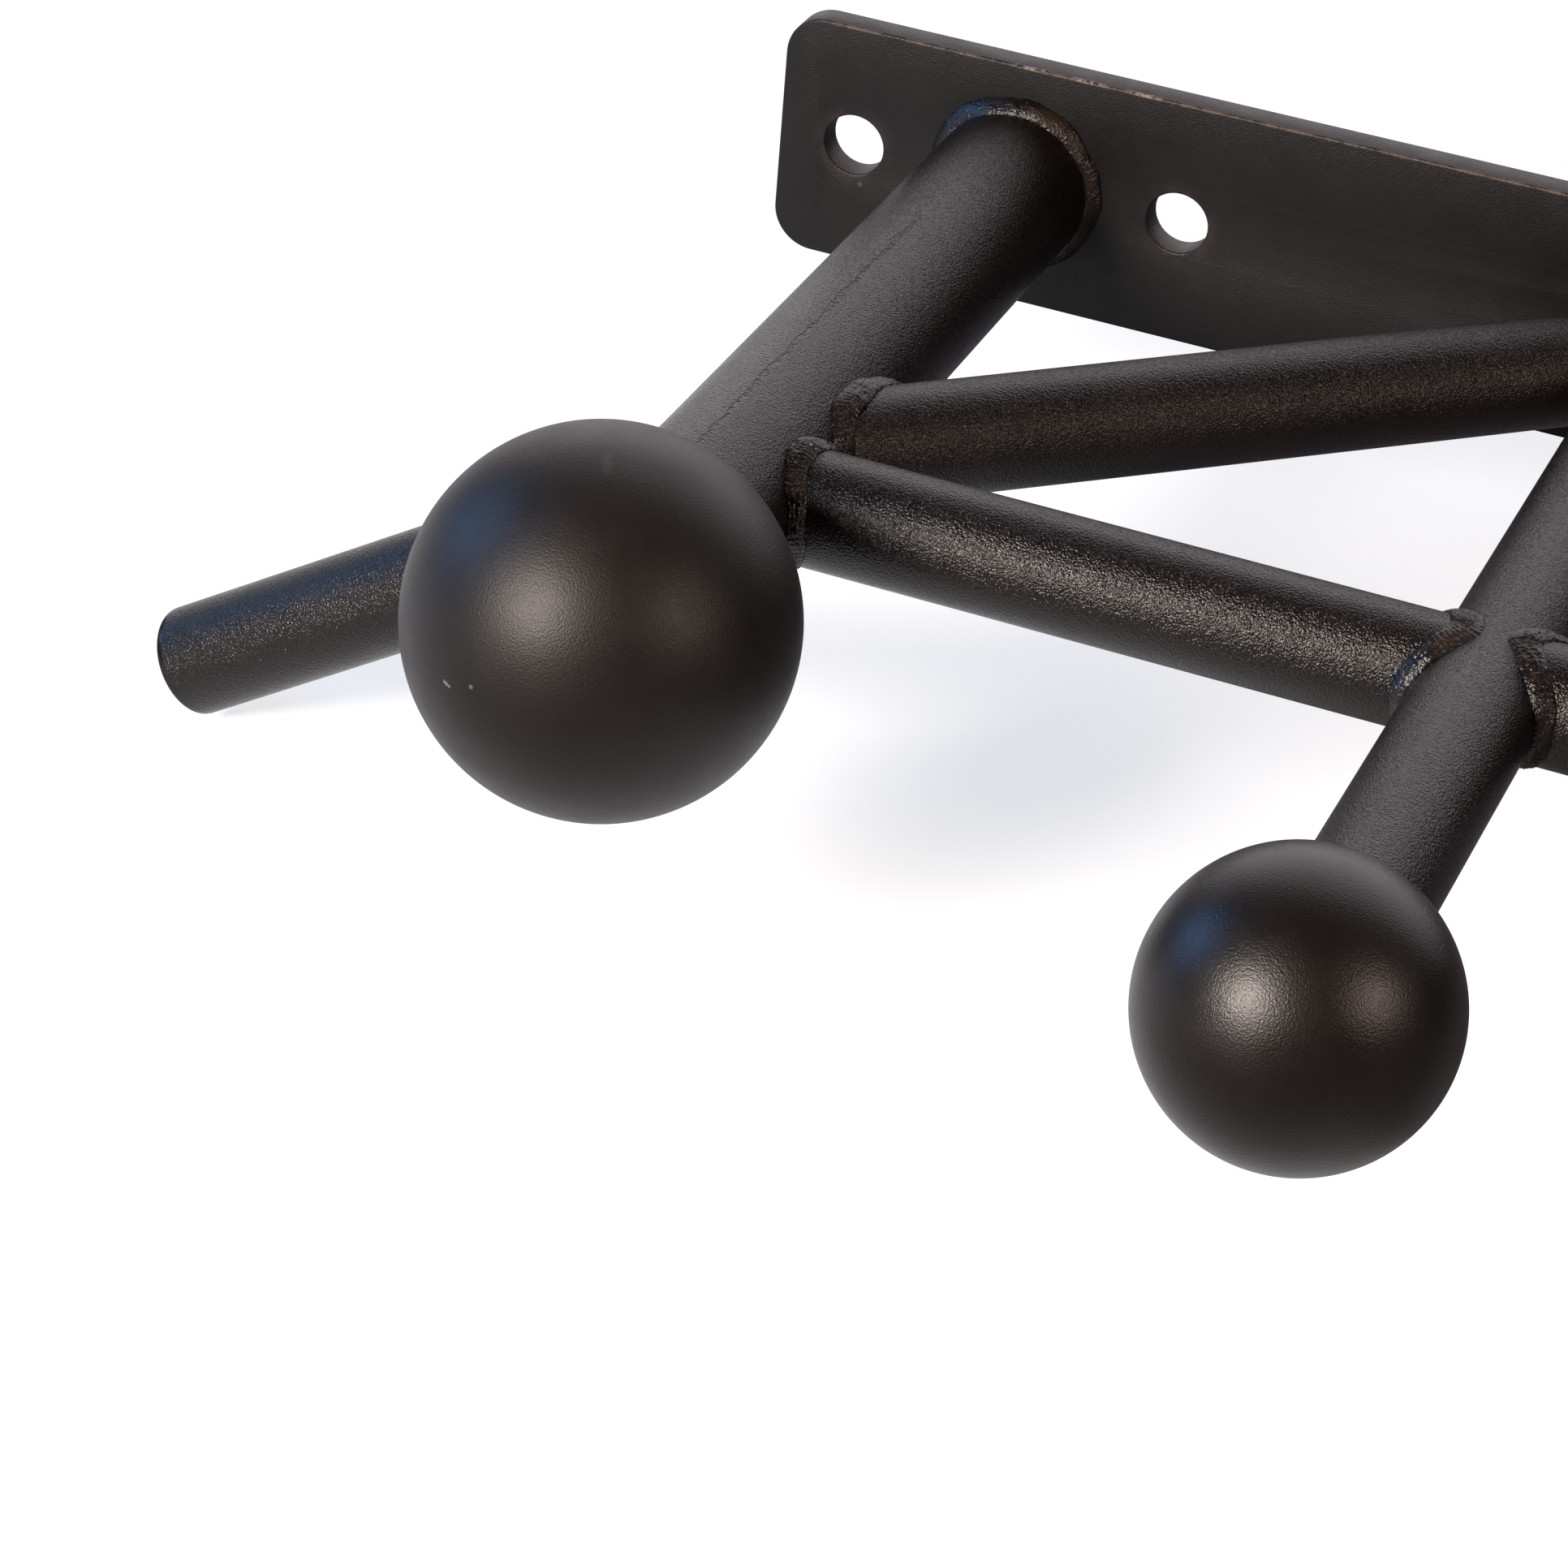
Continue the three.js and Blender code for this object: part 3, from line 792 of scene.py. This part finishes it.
def corner_line(start, towards, radius, steel):
    """Points round a tube, where its surface meets the steel. The tube runs from start."""
    deselect()
    bpy.ops.mesh.primitive_circle_add(
        vertices=round(2 * math.pi * radius / LINE_STEP), radius=radius, fill_type="NOTHING",
        location=start, rotation=(towards - start).to_track_quat("Z", "Y").to_euler(),
    )
    ring = bpy.context.object
    with_modifier(
        ring, "Meet the steel", "SHRINKWRAP", target=steel, wrap_method="PROJECT",
        use_project_z=True, use_positive_direction=True, use_negative_direction=False,
    )
    settle(ring)
    points = [vertex.co.copy() for vertex in ring.data.vertices]
    scrap(ring)
    return points


# %% The unevenness of a hand-laid bead
RIPPLE = 1.3 * MM


def wander(distance, size, seed):
    """Smooth unevenness between about -1 and 1, with lumps of this size in millimetres."""
    return 1.6 * noise.noise(Vector((distance / (size * MM), 7.3 * seed, 1.7)))


def ripple_at(distance, seed):
    """The edge of each puddle: a steep front and a long back, never twice the same."""
    along = (distance + 0.5 * MM * wander(distance, 5, seed + 40)) / RIPPLE
    return (along % 1.0) - 0.5


# %% Lay one bead
FACE_STEPS = 18
SUNK = 0.5 * MM
BURIED = 1.2 * MM


def lay_bead(node, start, towards, radius, bead_size, steel, surface_normal, seed):
    """bead_size: the reach on the tube and on the steel, then the ripple and the swell."""
    tube_reach, steel_reach, ripple, rise = bead_size
    along = (towards - start).normalized()
    line = corner_line(start, towards, radius, steel)
    count = len(line)
    rows = []
    distance = 0.0
    for i, corner in enumerate(line):
        distance += (corner - line[i - 1]).length if i else 0.0
        from_axis = corner - start
        tube_normal = (from_axis - along * from_axis.dot(along)).normalized()
        steel_normal = surface_normal(corner)
        run = (line[(i + 1) % count] - line[i - 1]).normalized()
        up_tube = run.cross(tube_normal).normalized()
        up_tube *= -1 if up_tube.dot(along) > 0 else 1
        over_steel = run.cross(steel_normal).normalized()
        over_steel *= -1 if over_steel.dot(tube_normal) < 0 else 1
        crown = max(0.0, tube_normal.z) ** 6
        tube_leg = tube_reach * (1 + 0.16 * wander(distance, 9, seed) + 0.45 * crown)
        steel_leg = steel_reach * (1 + 0.22 * wander(distance, 7, seed + 10))
        tube_toe = corner + up_tube * tube_leg - tube_normal * SUNK
        steel_toe = corner + over_steel * steel_leg - steel_normal * SUNK
        swell = rise + 0.35 * wander(distance, 6, seed + 20) + 0.5 * crown
        swell += ripple * ripple_at(distance, seed)
        outwards = (tube_normal + steel_normal).normalized()
        row = []
        for step in range(FACE_STEPS + 1):
            share = step / FACE_STEPS
            middle = 4 * share * (1 - share)
            lump = 0.9 * ripple * wander(distance, 2.6, seed + 60 + 3 * share)
            point = tube_toe.lerp(steel_toe, share)
            point += outwards * (swell + lump) * MM * middle ** 0.6
            point += run * 0.9 * MM * middle
            row.append(point)
        row.append(corner - (tube_normal + steel_normal) * BURIED)
        rows.append(row)
    return make_bead(node, rows)


def make_bead(node, rows):
    """Joins the rows, each a closed section, into a closed ring of metal."""
    width = len(rows[0])
    points = [point for row in rows for point in row]
    faces = []
    for i in range(len(rows)):
        here, ahead = i * width, ((i + 1) % len(rows)) * width
        for j in range(width):
            side = (j + 1) % width
            faces.append((here + j, here + side, ahead + side, ahead + j))
    mesh = bpy.data.meshes.new(node)
    mesh.from_pydata(points, [], faces)
    crest = mesh.attributes.new("crest", "FLOAT", "POINT")
    for i in range(len(points)):
        share = min(i % width, FACE_STEPS) / FACE_STEPS
        crest.data[i].value = 4 * share * (1 - share)
    bead = bpy.data.objects.new(node, mesh)
    bpy.context.collection.objects.link(bead)
    only(bead)
    bpy.ops.object.mode_set(mode="EDIT")
    bpy.ops.mesh.select_all(action="SELECT")
    bpy.ops.mesh.normals_make_consistent(inside=False)
    bpy.ops.object.mode_set(mode="OBJECT")
    smooth(bead, 80)
    return hand_over(bead, node, "weld_powder_coat")


# %% How big each kind of bead is, and which way the steel beside it faces
# Reach on the tube and on the steel, then depth of the ripple and swell in millimetres.
BAR_BEAD = (4.6 * MM, 2.4 * MM, 0.36, 1.1)
ROOT_BEAD = (3.6 * MM, 3.8 * MM, 0.10, 0.7)
BALL_BEAD = (4.0 * MM, 3.0 * MM, 0.2, 0.9)


def arm_normal(x):
    return lambda point: Vector((point.x - x, 0, point.z)).normalized()


def ball_normal(centre):
    return lambda point: (point - centre).normalized()


def plate_normal(point):
    return Vector((0, -1, 0))


def corner_normal(x):
    """The inner arm's normal, or the plate's where the bead has reached the plate."""
    def normal(point):
        on_plate = point.y > PLATE_FRONT - 0.1 * MM
        return plate_normal(point) if on_plate else arm_normal(x)(point)
    return normal


# %% The steel that the beads are laid on
outer_tool_right = arm_tool(flip(LARGE_BALL), OUTER_ARM_RADIUS)
corner_left = arm_tool(SMALL_BALL, INNER_ARM_RADIUS)
corner_right = arm_tool(flip(SMALL_BALL), INNER_ARM_RADIUS)
for corner in (corner_left, corner_right):
    with_modifier(
        corner, "With the plate", "BOOLEAN", operation="UNION", solver="EXACT", object=plate_tool,
    )
outer_steel = {-1: outer_tool, 1: outer_tool_right}
inner_steel = {-1: inner_tool, 1: inner_tool_right}
corner_steel = {-1: corner_left, 1: corner_right}
print("sides with their steel ready:", len(corner_steel))

# %% Run the beads
seed = 1
for side, name in ((-1, "left"), (1, "right")):
    there = (lambda point: point.copy()) if side < 0 else flip
    outer_x, inner_x = there(LARGE_BALL).x, there(SMALL_BALL).x
    outer_root = Vector((outer_x, PLATE_FRONT, 0))
    inner_root = Vector((inner_x, PLATE_FRONT, 0))
    cross_middle = there((cross_start + cross_end) / 2)
    brace_middle = there((brace_start + brace_end) / 2)
    cross_outer, cross_inner = there(cross_start), there(cross_end)
    on_outer = (outer_steel[side], arm_normal(outer_x))
    on_inner = (inner_steel[side], arm_normal(inner_x))
    on_corner = (corner_steel[side], corner_normal(inner_x))
    on_plate = (plate_tool, plate_normal)
    bar = (BAR_RADIUS, BAR_BEAD)
    outer_arm = (OUTER_ARM_RADIUS, ROOT_BEAD)
    inner_arm = (INNER_ARM_RADIUS, ROOT_BEAD)
    joints = (
        ("cross_bar_outer_weld", cross_middle, cross_outer, *bar, *on_outer),
        ("cross_bar_inner_weld", cross_middle, cross_inner, *bar, *on_inner),
        ("brace_front_weld", brace_middle, there(brace_start), *bar, *on_outer),
        ("brace_root_weld", brace_middle, there(brace_end), *bar, *on_corner),
        ("outer_arm_weld", cross_outer, outer_root, *outer_arm, *on_plate),
        ("inner_arm_weld", cross_inner, inner_root, *inner_arm, *on_plate),
        ("angled_grip_weld", there(grip_end), cross_outer, *bar, *on_outer),
        ("centre_bar_weld", Vector((0, BAR_Y, 0)), cross_inner, *bar, *on_inner),
    )
    for node, *joint in joints:
        lay_bead(f"{name}_{node}", *joint, seed)
        seed += 1
    for label, ball_centre, ball_radius, radius in (
        ("outer", there(LARGE_BALL), LARGE_BALL_RADIUS, OUTER_ARM_RADIUS),
        ("inner", there(SMALL_BALL), SMALL_BALL_RADIUS, INNER_ARM_RADIUS),
    ):
        ball_steel = ball_tool(ball_centre, ball_radius)
        start = Vector((ball_centre.x, PLATE_FRONT, 0))
        lay_bead(
            f"{name}_{label}_ball_weld", start, ball_centre, radius, BALL_BEAD,
            ball_steel, ball_normal(ball_centre), seed,
        )
        scrap(ball_steel)
        seed += 1
scrap(
    outer_tool, outer_tool_right, inner_tool, inner_tool_right, corner_left, corner_right,
    cross_tool, plate_tool,
)

# %% [markdown]
# ## The studio floor
# A black object shows only what it reflects, so the studio matters as much as the coat. The
# floor has two looks. The camera sees it nearly white, with a soft shadow. Reflections and
# bounced light see a darker floor that glows only at the back left and out to the left, as
# white card laid beside a product does. One white floor for both would turn every underside
# grey. The Light Path node tells the two kinds of ray apart.

# %% The floor
FLOOR_SIZE = 10
FLOOR_GAP = 2 * MM
FLOOR_SEEN = (0.40, 0.41, 0.42)
FLOOR_REFLECTED = (0.17, 0.165, 0.18)
SEEN_GLOW = 0.64
CARD_GLOW = 0.85

deselect()
bpy.ops.mesh.primitive_plane_add(size=FLOOR_SIZE, location=(0, 0, cad_box[0].z - FLOOR_GAP))
floor = bpy.context.object
floor.name = "studio_floor"
floor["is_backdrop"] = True
floor_paint = bpy.data.materials.new("studio_floor_paint")
floor_paint.use_nodes = True
paint_tree = floor_paint.node_tree
paint = paint_tree.nodes["Principled BSDF"]
paint.inputs["Roughness"].default_value = 0.9
paint.inputs["Specular IOR Level"].default_value = 0.0
paint.inputs["Emission Color"].default_value = (1, 1, 1, 1)
floor_place = paint_tree.nodes.new("ShaderNodeTexCoord").outputs["Object"]
across, back, _ = axes(paint_tree, floor_place)
below = between(paint_tree, back, -0.60, -0.34, 0.0, CARD_GLOW)
slant = maths(paint_tree, "MULTIPLY_ADD", across, 1.2, 0.48)
to_the_right = maths(paint_tree, "ADD", back, slant)
below = maths(paint_tree, "MULTIPLY", below, between(paint_tree, to_the_right, 0.0, -0.12))
leftwards = between(paint_tree, across, -0.60, -0.90, 0.0, CARD_GLOW)
card = maths(paint_tree, "MAXIMUM", below, leftwards)
in_view = paint_tree.nodes.new("ShaderNodeLightPath").outputs["Is Camera Ray"]
out_of_view = maths(paint_tree, "SUBTRACT", 1.0, in_view)
glow = maths(
    paint_tree, "ADD",
    maths(paint_tree, "MULTIPLY", in_view, SEEN_GLOW),
    maths(paint_tree, "MULTIPLY", card, out_of_view),
)
paint_tree.links.new(glow, paint.inputs["Emission Strength"])
pale = blend_colours(paint_tree, in_view, FLOOR_REFLECTED, FLOOR_SEEN)
paint_tree.links.new(pale, paint.inputs["Base Color"])
floor.data.materials.append(floor_paint)
print("floor height in millimetres:", round(floor.location.z / MM, 1))

# %% [markdown]
# ## The room
# Behind the object the room is bright, which gives every tube a pale upper edge. In front it
# is dark, which keeps the coat black. A blend over the direction of each ray makes both
# without any walls. The camera sees plain white.

# %% The room's light
BRIGHT_TOWARDS = (-0.10, 0.95, 0.295)
DARK_ROOM = (0.03, 0.028, 0.028)
BRIGHT_ROOM = (2.1, 1.92, 2.0)

world = bpy.data.worlds.new("studio_room")
bpy.context.scene.world = world
world.use_nodes = True
sky = world.node_tree
background = sky.nodes["Background"]
direction = sky.nodes.new("ShaderNodeTexCoord").outputs["Generated"]
towards_back = sky.nodes.new("ShaderNodeVectorMath")
towards_back.operation = "DOT_PRODUCT"
towards_back.inputs[1].default_value = BRIGHT_TOWARDS
sky.links.new(direction, towards_back.inputs[0])
bright = between(sky, towards_back.outputs["Value"], 0.65, 0.88)
room = blend_colours(sky, bright, DARK_ROOM, BRIGHT_ROOM)
seen = sky.nodes.new("ShaderNodeLightPath").outputs["Is Camera Ray"]
sky.links.new(blend_colours(sky, seen, room, (1, 1, 1)), background.inputs["Color"])
print("made", world.name)

# %% [markdown]
# ## The lights
# Three round softboxes make the highlights: a warm one to the left of the camera, a smaller
# one far to the right, and a bluish window on the left. Round boxes are used because a
# ball mirrors their shape. All of them are aimed at the middle between the two left balls.

# %% The lights
def softbox(name, aim_at, direction, distance, size, power, colour):
    stand = aim_at + direction.normalized() * distance
    deselect()
    bpy.ops.object.light_add(
        type="AREA", location=stand,
        rotation=(aim_at - stand).to_track_quat("-Z", "Y").to_euler(),
    )
    light = bpy.context.object
    light.name = name
    light.data.shape = "DISK"
    light.data.size = size
    light.data.energy = power
    light.data.color = colour
    print(f"{name}: {power} W, {size} m across")


between_balls = (LARGE_BALL + SMALL_BALL) / 2
# Each light: where it stands, seen from the balls, how far off and how big it is in metres,
# its power in watts, and its colour.
for name, direction, distance, size, power, colour in (
    ("warm_softbox", (-0.37, -0.79, 0.49), 2.2, 0.80, 128, (1.0, 0.88, 0.80)),
    ("side_softbox", (0.84, -0.22, 0.48), 1.2, 0.44, 7, (1.0, 0.80, 0.70)),
    ("blue_window", (-0.925, 0.035, 0.385), 1.2, 0.60, 6, (0.22, 0.5, 1.0)),
):
    softbox(name, between_balls, Vector(direction), distance, size, power, colour)
bpy.context.scene.view_settings.view_transform = "Standard"

# %% Write the sizes
made_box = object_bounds()
made_size = made_box[1] - made_box[0]
print("finished size in millimetres:", [round(side / MM, 1) for side in made_size])
